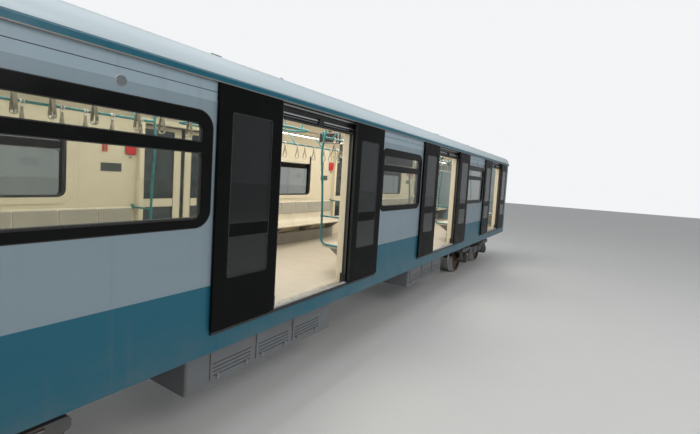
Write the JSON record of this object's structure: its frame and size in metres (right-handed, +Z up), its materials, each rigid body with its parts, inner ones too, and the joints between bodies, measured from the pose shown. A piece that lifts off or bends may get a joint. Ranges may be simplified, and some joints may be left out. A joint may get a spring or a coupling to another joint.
{
  "type": "metro car",
  "caption": "Intermediate metro car with outside-hung sliding door leaves, gangway ends, two swivelling bogies with turning wheelsets and swinging drawbars.",
  "frame": {"origin": "under the middle of the car, at the bottom of the wheel flanges", "axes": "+X along the car, +Y to its left side, +Z up"},
  "size_m": [18.61, 2.73, 3.783],
  "materials": {
    "body_paint": "satin blue-grey paint",
    "roof_paint": "satin pale paint",
    "teal_paint": "gloss paint",
    "door_black": "gloss black",
    "window_black": "gloss black",
    "glass": "tinted",
    "floor_cover": "matt flooring",
    "sill_metal": "brushed",
    "underframe_paint": "matt",
    "case_paint": "matt",
    "end_paint": "satin",
    "bellows_rubber": "matt",
    "frame_metal": "worn",
    "lining": "satin",
    "light": "frosted",
    "seat": "satin",
    "heater": "satin",
    "pole_teal": "satin",
    "display_black": "matt",
    "track_metal": "worn",
    "bogie_paint": "matt",
    "cast": "rough",
    "spring_rubber": "matt",
    "wheel_steel": "rolled",
    "tank_paint": "satin",
    "drawbar_paint": "matt",
    "ac_paint": "satin"
  },
  "bodies": {
    "car_body": {"floor_deck": "floor_cover", "door_sills": "sill_metal", "underframe": "underframe_paint", "centre_pins": "cast", "draft_brackets": "underframe_paint", "sole_panels": "body_paint", "side_wall_right": "body_paint", "side_wall_left": "body_paint", "cantrails": "body_paint", "roof": "roof_paint", "end_walls": "end_paint", "window_surrounds": "window_black", "window_panes": "glass", "cantrail_strips": "teal_paint", "door_tracks": "track_metal", "ac_units": "ac_paint", "bellows": "bellows_rubber", "gangway_frames": "frame_metal", "benches": "seat", "bench_supports": "heater", "ceiling": "lining", "light_strips": "light", "grab_poles": "pole_teal", "overhead_rails": "pole_teal", "displays": "display_black", "air_tanks": "tank_paint", "converter_cases": "case_paint", "service_cases": "case_paint"},
    "bar_a": {"drawbar_a": "drawbar_paint"},
    "bar_b": {"drawbar_b": "drawbar_paint"},
    "bogie_a": {"bogie_frame_a": "bogie_paint", "suspension_a": "spring_rubber", "axle_boxes_a": "cast", "drives_a": "case_paint", "brakes_a": "cast"},
    "axle_a1": {"wheelset_a1": "wheel_steel"},
    "axle_a2": {"wheelset_a2": "wheel_steel"},
    "bogie_b": {"bogie_frame_b": "bogie_paint", "suspension_b": "spring_rubber", "axle_boxes_b": "cast", "drives_b": "case_paint", "brakes_b": "cast"},
    "axle_b1": {"wheelset_b1": "wheel_steel"},
    "axle_b2": {"wheelset_b2": "wheel_steel"},
    "door_right_1a": {"leaf_right_1a": "door_black"},
    "door_right_1b": {"leaf_right_1b": "door_black"},
    "door_right_2a": {"leaf_right_2a": "door_black"},
    "door_right_2b": {"leaf_right_2b": "door_black"},
    "door_right_3a": {"leaf_right_3a": "door_black"},
    "door_right_3b": {"leaf_right_3b": "door_black"},
    "door_right_4a": {"leaf_right_4a": "door_black"},
    "door_right_4b": {"leaf_right_4b": "door_black"},
    "door_left_1a": {"leaf_left_1a": "door_black"},
    "door_left_1b": {"leaf_left_1b": "door_black"},
    "door_left_2a": {"leaf_left_2a": "door_black"},
    "door_left_2b": {"leaf_left_2b": "door_black"},
    "door_left_3a": {"leaf_left_3a": "door_black"},
    "door_left_3b": {"leaf_left_3b": "door_black"},
    "door_left_4a": {"leaf_left_4a": "door_black"},
    "door_left_4b": {"leaf_left_4b": "door_black"}
  },
  "joints": [
    {"name": "bogie_a_turn", "type": "hinge", "parent": "car_body", "child": "bogie_a", "pos_m": [-6.3, 0, 0.7], "axis": [0, 0, 1], "range_deg": [-4, 4]},
    {"name": "axle_a1_roll", "type": "hinge", "parent": "bogie_a", "child": "axle_a1", "pos_m": [-7.4, 0, 0.448], "axis": [0, 1, 0], "continuous": true},
    {"name": "axle_a2_roll", "type": "hinge", "parent": "bogie_a", "child": "axle_a2", "pos_m": [-5.2, 0, 0.448], "axis": [0, 1, 0], "continuous": true},
    {"name": "bogie_b_turn", "type": "hinge", "parent": "car_body", "child": "bogie_b", "pos_m": [6.3, 0, 0.7], "axis": [0, 0, 1], "range_deg": [-4, 4]},
    {"name": "axle_b1_roll", "type": "hinge", "parent": "bogie_b", "child": "axle_b1", "pos_m": [5.2, 0, 0.448], "axis": [0, 1, 0], "continuous": true},
    {"name": "axle_b2_roll", "type": "hinge", "parent": "bogie_b", "child": "axle_b2", "pos_m": [7.4, 0, 0.448], "axis": [0, 1, 0], "continuous": true},
    {"name": "bar_a_swing", "type": "hinge", "parent": "car_body", "child": "bar_a", "pos_m": [-8.48, 0, 0.748], "axis": [0, 0, 1], "range_deg": [-12, 12]},
    {"name": "bar_b_swing", "type": "hinge", "parent": "car_body", "child": "bar_b", "pos_m": [8.48, 0, 0.748], "axis": [0, 0, 1], "range_deg": [-12, 12]},
    {"name": "door_right_1a_slide", "type": "slide", "parent": "car_body", "child": "door_right_1a", "axis": [-1, 0, 0], "range_m": [-0.724, 0]},
    {"name": "door_right_1b_slide", "type": "slide", "parent": "car_body", "child": "door_right_1b", "axis": [1, 0, 0], "range_m": [-0.724, 0]},
    {"name": "door_right_2a_slide", "type": "slide", "parent": "car_body", "child": "door_right_2a", "axis": [-1, 0, 0], "range_m": [-0.724, 0]},
    {"name": "door_right_2b_slide", "type": "slide", "parent": "car_body", "child": "door_right_2b", "axis": [1, 0, 0], "range_m": [-0.724, 0]},
    {"name": "door_right_3a_slide", "type": "slide", "parent": "car_body", "child": "door_right_3a", "axis": [-1, 0, 0], "range_m": [-0.724, 0]},
    {"name": "door_right_3b_slide", "type": "slide", "parent": "car_body", "child": "door_right_3b", "axis": [1, 0, 0], "range_m": [-0.724, 0]},
    {"name": "door_right_4a_slide", "type": "slide", "parent": "car_body", "child": "door_right_4a", "axis": [-1, 0, 0], "range_m": [-0.724, 0]},
    {"name": "door_right_4b_slide", "type": "slide", "parent": "car_body", "child": "door_right_4b", "axis": [1, 0, 0], "range_m": [-0.724, 0]},
    {"name": "door_left_1a_slide", "type": "slide", "parent": "car_body", "child": "door_left_1a", "axis": [-1, 0, 0], "range_m": [0, 0.724]},
    {"name": "door_left_1b_slide", "type": "slide", "parent": "car_body", "child": "door_left_1b", "axis": [1, 0, 0], "range_m": [0, 0.724]},
    {"name": "door_left_2a_slide", "type": "slide", "parent": "car_body", "child": "door_left_2a", "axis": [-1, 0, 0], "range_m": [0, 0.724]},
    {"name": "door_left_2b_slide", "type": "slide", "parent": "car_body", "child": "door_left_2b", "axis": [1, 0, 0], "range_m": [0, 0.724]},
    {"name": "door_left_3a_slide", "type": "slide", "parent": "car_body", "child": "door_left_3a", "axis": [-1, 0, 0], "range_m": [0, 0.724]},
    {"name": "door_left_3b_slide", "type": "slide", "parent": "car_body", "child": "door_left_3b", "axis": [1, 0, 0], "range_m": [0, 0.724]},
    {"name": "door_left_4a_slide", "type": "slide", "parent": "car_body", "child": "door_left_4a", "axis": [-1, 0, 0], "range_m": [0, 0.724]},
    {"name": "door_left_4b_slide", "type": "slide", "parent": "car_body", "child": "door_left_4b", "axis": [1, 0, 0], "range_m": [0, 0.724]}
  ],
  "couplings": [
    {"joint": "door_right_1b_slide", "follows": "door_right_1a_slide", "ratio": 1},
    {"joint": "door_right_2b_slide", "follows": "door_right_2a_slide", "ratio": 1},
    {"joint": "door_right_3b_slide", "follows": "door_right_3a_slide", "ratio": 1},
    {"joint": "door_right_4b_slide", "follows": "door_right_4a_slide", "ratio": 1},
    {"joint": "door_left_1b_slide", "follows": "door_left_1a_slide", "ratio": 1},
    {"joint": "door_left_2b_slide", "follows": "door_left_2a_slide", "ratio": 1},
    {"joint": "door_left_3b_slide", "follows": "door_left_3a_slide", "ratio": 1},
    {"joint": "door_left_4b_slide", "follows": "door_left_4a_slide", "ratio": 1}
  ]
}
